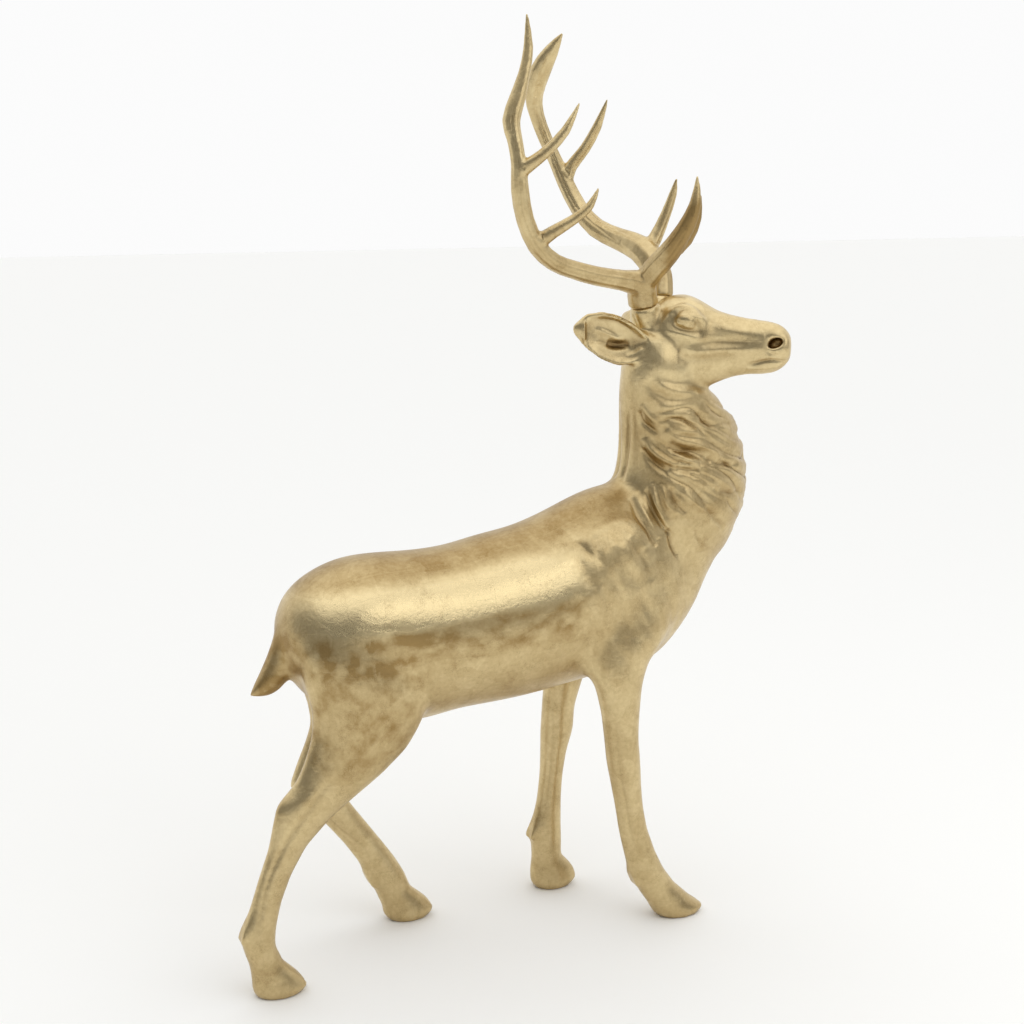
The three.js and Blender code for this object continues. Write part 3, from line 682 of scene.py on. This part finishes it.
def gold_leaf(finish):
    """Gold leaf on cast bronze, laid by hand in loose sheets and left satin.

    It gives the eye a pale metal with soft broad reflections, whose tone changes from scrap to scrap of torn
    leaf, with fine crazing and dulled patches where it was handled. A highlight band is painted on the flank,
    and shade is painted under it, on top, underneath and in the hollows.
    """
    material = bpy.data.materials.get("gold_leaf_on_bronze")
    if material:
        return material
    material = bpy.data.materials.new("gold_leaf_on_bronze")
    material.use_nodes = True
    tree = material.node_tree
    tree.nodes.clear()
    place = add_node(tree, "ShaderNodeTexCoord").outputs["Object"]

    # Torn edges and sheets laid askew: places pushed about by up to half of so many millimetres.
    pushed = {}
    for name, size_mm, push_mm in (("torn", 42, 35), ("askew", 200, 60)):
        sway = add_node(tree, "ShaderNodeTexNoise", Vector=place, Scale=1000 / size_mm, Detail=3.0,
                        Roughness=NOISE_ROUGHNESS)
        pushed[name] = add_node(tree, "ShaderNodeVectorMath", {"operation": "MULTIPLY_ADD"},
                                i0=sway.outputs["Color"], i1=(push_mm * MM,) * 3, i2=place).outputs[0]

    parts = {}
    for name, size_mm in (("scraps", 33), ("large scraps", 90)):
        parts[name] = add_node(tree, "ShaderNodeTexVoronoi", Vector=pushed["torn"],
                               Scale=1000 / size_mm).outputs["Color"]
    # Real crazing is finer than a millimetre; it is drawn at 2.4 mm so that it shows.
    for name, size_mm, detail, at in (
        ("broad", 200, 3.0, place), ("patch", 50, 5.0, pushed["torn"]), ("fine", 9, 5.0, place),
        ("craze", 2.4, 2.0, place),
    ):
        parts[name] = add_node(tree, "ShaderNodeTexNoise", Vector=at, Scale=1000 / size_mm, Detail=detail,
                               Roughness=NOISE_ROUGHNESS).outputs[0]
    # The first attribute is painted shade in the hollows; the second is dulling with painted highlight and
    # shade.
    for name in ("hollow", "wear_and_light"):
        parts[name] = add_node(tree, "ShaderNodeAttribute", {"attribute_name": name}).outputs["Fac"]

    # Sheets are laid flat on the nearest of three planes: along the side, across the front, or over the top.
    split = add_node(tree, "ShaderNodeSeparateXYZ", Vector=pushed["askew"]).outputs
    normal = add_node(tree, "ShaderNodeNewGeometry").outputs["Normal"]
    facing = add_node(tree, "ShaderNodeSeparateXYZ", Vector=normal).outputs
    flat = add_node(tree, "ShaderNodeCombineXYZ", X=split[1], Y=split[2]).outputs[0]
    for axis, u, v, start, end in ((2, 0, 1, 0.6, 0.7), (1, 0, 2, 0.5, 0.6)):
        steep = add_node(tree, "ShaderNodeMath", {"operation": "ABSOLUTE"}, i0=facing[axis]).outputs[0]
        share = add_node(tree, "ShaderNodeMapRange", Value=steep, From_Min=start, From_Max=end).outputs[0]
        plane = add_node(tree, "ShaderNodeCombineXYZ", X=split[u], Y=split[v]).outputs[0]
        flat = add_node(tree, "ShaderNodeMix", {"data_type": "VECTOR"}, i0=share, i4=flat,
                        i5=plane).outputs[1]
    sheets = add_node(
        tree, "ShaderNodeTexBrick", {"offset": 0.37}, Vector=flat, Color1=(0.0, 0.0, 0.0),
        Color2=(1.0, 1.0, 1.0), Mortar=(0.5, 0.5, 0.5), Scale=1.0, Mortar_Size=finish.lap, Mortar_Smooth=1.0,
        Brick_Width=finish.sheet, Row_Height=finish.sheet,
    )
    parts["lap"], parts["sheet"] = sheets.outputs["Fac"], sheets.outputs["Color"]

    # Each of these adds up shares of the parts above, then stretches the range that matters to 0..1.
    for name, low, high, shares in (
        ("missing", 0.54, 0.66, (("patch", 0.5), ("craze", 0.5))),
        # Painted shade in the hollows, with the laps between sheets and bare bronze where leaf is missing.
        ("brown_and_shade", 0.0, 1.0, (("hollow", 0.8), ("lap", 0.05), ("missing", 0.3))),
        # Dulling, with the painted highlight and painted shade that the body's attribute carries.
        ("dull_and_lit", 0.68, 1.64, (
            ("wear_and_light", 1.0), ("scraps", 0.16), ("large scraps", 0.12), ("sheet", 0.1), ("broad", 0.4),
            ("patch", 0.52), ("fine", 0.5),
        )),
        ("relief", 0.0, 4.0, (
            ("fine", 0.5), ("patch", 2.2), ("lap", 0.12), ("scraps", 0.35), ("craze", 0.06),
        )),
    ):
        total = 0.0
        for part, share in shares:
            total = add_node(tree, "ShaderNodeMath", {"operation": "MULTIPLY_ADD"}, i0=parts[part], i1=share,
                             i2=total).outputs[0]
        parts[name] = add_node(tree, "ShaderNodeMapRange", Value=total, From_Min=low,
                               From_Max=high).outputs[0]

    # Painted light: whole leaf where the highlight is painted, dulled leaf and the hollows' colour where
    # shade is.
    colour = tuple(finish.leaf)
    for share, over in ((parts["dull_and_lit"], finish.leaf_dulled_and_shaded), (parts["brown_and_shade"], finish.toning_and_shade)):
        colour = add_node(tree, "ShaderNodeMix", {"data_type": "RGBA"}, i0=share, i6=colour,
                          i7=tuple(over)).outputs[2]
    gloss = add_node(tree, "ShaderNodeMapRange", Value=parts["dull_and_lit"], To_Min=finish.satin,
                     To_Max=finish.satin_dull).outputs[0]
    relief = add_node(tree, "ShaderNodeBump", Strength=0.5, Distance=finish.wrinkle,
                      Height=parts["relief"]).outputs[0]
    shader = add_node(tree, "ShaderNodeBsdfPrincipled", Base_Color=colour, Metallic=1.0, Roughness=gloss,
                      Normal=relief)
    add_node(tree, "ShaderNodeOutputMaterial", Surface=shader.outputs[0])
    return material


def studio_paper(studio):
    """Seamless background paper, matt: it gives the eye a pale ground with only the figure's soft shadow."""
    material = bpy.data.materials.new("studio_paper")
    material.use_nodes = True
    tree = material.node_tree
    tree.nodes.clear()
    shader = add_node(tree, "ShaderNodeBsdfPrincipled", Base_Color=tuple(studio.floor), Roughness=0.9)
    add_node(tree, "ShaderNodeOutputMaterial", Surface=shader.outputs[0])
    return material


# ---------------------------------------------------------------- operators

class STAG_OT_body(bpy.types.Operator):
    """Makes the stag's body: trunk, neck and mane, head, legs and tail, one casting."""

    bl_idname = "stag.body"
    bl_label = "Body"

    def execute(self, context):
        form = context.scene.stag_form
        piece = copy_of("stag_body", "gilt_body")
        finished_by(piece, "REMESH", mode="VOXEL", voxel_size=form.body_grain, adaptivity=0.0)
        skin = Skin(piece)
        skin.smooth(skin.spread(body_pull(skin.points), *PULL_SMOOTHING), BODY_SMOOTHING)

        normals = skin.normals()
        local, turned = head_frame(skin.points), upright_turn(normals, -HEAD_TURN)
        turned[:, 1] *= np.sign(upright_turn(skin.points - HEAD_AT, -HEAD_TURN)[:, 1])  # out on both sides
        inside = nostrils(local)
        height = mane(skin.points, form) + folds(skin.points, form)
        height += drawn(*onto_right(skin.points, normals), NECK_LINES + SHOULDER_LINES)
        height += drawn(local, turned, HEAD_LINES)
        height += drawn(local, turned, EAR_LINES) * rise(turned[:, 1], *EAR_FACE)
        height += eyes(local) - NOSTRIL_DEPTH * inside
        height += tendons(skin.points, normals, form)
        skin.lift(height)

        # Painted shade: darker in the hollows, inside the nostrils and in the cups of the ears.
        hollow = skin.dips() / BODY_DIP + NOSTRIL_SHADE * inside + EAR_CUP_SHADE * ear_hollows(local, turned)
        skin.paint("hollow", np.clip(hollow, 0, 1))
        # Dulling of the leaf, with a painted highlight band and painted shade under it, on top and
        # underneath.
        skin.paint("wear_and_light", wear_and_painted_light(skin.points, skin.normals()))
        share = min(1.0, BODY_TRIANGLES / triangles(piece.data))
        finished_by(piece, "DECIMATE", decimate_type="COLLAPSE", ratio=share)
        seated(piece, "stag_body", gold_leaf(context.scene.stag_finish))
        return {"FINISHED"}


class STAG_OT_antlers(bpy.types.Operator):
    """Makes the two antlers, each a casting of its own."""

    bl_idname = "stag.antlers"
    bl_label = "Antlers"

    def execute(self, context):
        form = context.scene.stag_form
        for node in ("antler_right", "antler_left"):
            piece = copy_of(node, "gilt_" + node)
            finished_by(piece, "REMESH", mode="VOXEL", voxel_size=form.antler_grain, adaptivity=0.0)
            skin = Skin(piece)
            skin.smooth(*ANTLER_SMOOTHING)
            skin.lift(drawn(skin.points, skin.normals(), furrows(node, form)))
            # Painted shade in the antlers' furrows and hollows.
            skin.paint("hollow", np.clip(skin.dips() / ANTLER_DIP, 0, 1))
            skin.paint("wear_and_light", antler_wear(skin.points))
            seated(piece, node, gold_leaf(context.scene.stag_finish))
        return {"FINISHED"}


class STAG_OT_studio(bpy.types.Operator):
    """Sets out the floor, the soft lights and the camera."""

    bl_idname = "stag.studio"
    bl_label = "Studio"

    def execute(self, context):
        scene = context.scene
        studio = scene.stag_studio
        mesh = bpy.data.meshes.new("floor")
        work = bmesh.new()
        bmesh.ops.create_grid(work, x_segments=1, y_segments=1, size=FLOOR_HALF)
        work.to_mesh(mesh)
        work.free()
        mesh.materials.append(studio_paper(studio))
        floor = bpy.data.objects.new("floor", mesh)
        scene.collection.objects.link(floor)

        # A bright paper backdrop on one side of the room, a dimmer room on the other, a white ceiling.
        world = bpy.data.worlds.new("studio")
        world.use_nodes = True
        tree = world.node_tree
        tree.nodes.clear()
        toward = add_node(tree, "ShaderNodeTexCoord").outputs["Generated"]
        behind = add_node(tree, "ShaderNodeVectorMath", {"operation": "DOT_PRODUCT"}, i0=toward,
                          i1=BACKDROP).outputs[1]
        side = add_node(tree, "ShaderNodeMapRange", {"interpolation_type": "SMOOTHSTEP"}, Value=behind,
                        From_Min=BACKDROP_EDGE[0], From_Max=BACKDROP_EDGE[1], To_Min=studio.room,
                        To_Max=studio.paper).outputs[0]
        up = add_node(tree, "ShaderNodeSeparateXYZ", Vector=toward).outputs[2]
        overhead = add_node(tree, "ShaderNodeMapRange", {"interpolation_type": "SMOOTHSTEP"}, Value=up,
                            From_Min=CEILING_EDGE[0], From_Max=CEILING_EDGE[1]).outputs[0]
        level = add_node(tree, "ShaderNodeMix", {"data_type": "FLOAT"}, i0=overhead, i2=side,
                         i3=studio.ceiling).outputs[0]
        glow = add_node(tree, "ShaderNodeBackground", Color=(1.0, 1.0, 1.0), Strength=level).outputs[0]
        add_node(tree, "ShaderNodeOutputWorld", Surface=glow)
        scene.world = world

        light = bpy.data.lights.new("softbox", "AREA")
        light.shape = "RECTANGLE"
        light.size, light.size_y = SOFTBOX_SIDES
        light.energy = studio.key
        softbox = bpy.data.objects.new("softbox", light)
        softbox.location = SOFTBOX_AT
        aim = Vector(SOFTBOX_AIM) - softbox.location
        softbox.rotation_euler = aim.to_track_quat("-Z", "Y").to_euler()
        scene.collection.objects.link(softbox)

        lens = bpy.data.cameras.new("camera")
        lens.lens = LENS_MM
        lens.sensor_width = SENSOR_MM
        camera = bpy.data.objects.new("camera", lens)
        camera.location = (*CAMERA_AT, studio.camera_height)
        camera.rotation_euler = (math.pi / 2 - CAMERA_DOWN, 0.0, CAMERA_TURN)
        scene.collection.objects.link(camera)
        scene.camera = camera
        scene.view_settings.view_transform = "Standard"
        return {"FINISHED"}


class STAG_PT_panel(bpy.types.Panel):
    """Lists the figure's pieces and settings."""

    bl_idname = "STAG_PT_panel"
    bl_label = "Gilt Stag"
    bl_space_type = "VIEW_3D"
    bl_region_type = "UI"
    bl_category = "Stag"

    def draw(self, context):
        for group in (context.scene.stag_form, context.scene.stag_finish, context.scene.stag_studio):
            column = self.layout.column()
            for name in group.__annotations__:
                column.prop(group, name)
        for step in STEPS:
            self.layout.operator(step.bl_idname)


STEPS = (STAG_OT_body, STAG_OT_antlers, STAG_OT_studio)
GROUPS = (("stag_form", StagForm), ("stag_finish", StagFinish), ("stag_studio", StagStudio))
CLASSES = (*(group for _, group in GROUPS), *STEPS, STAG_PT_panel)


def register():
    for kind in CLASSES:
        bpy.utils.register_class(kind)
    for name, group in GROUPS:
        setattr(bpy.types.Scene, name, PointerProperty(type=group))


def unregister():
    for name, _ in GROUPS:
        delattr(bpy.types.Scene, name)
    for kind in reversed(CLASSES):
        bpy.utils.unregister_class(kind)


def main():
    """Makes the figure and its studio from the settings' defaults."""
    register()
    bpy.ops.stag.body()
    bpy.ops.stag.antlers()
    bpy.ops.stag.studio()


if __name__ == "__main__":
    main()
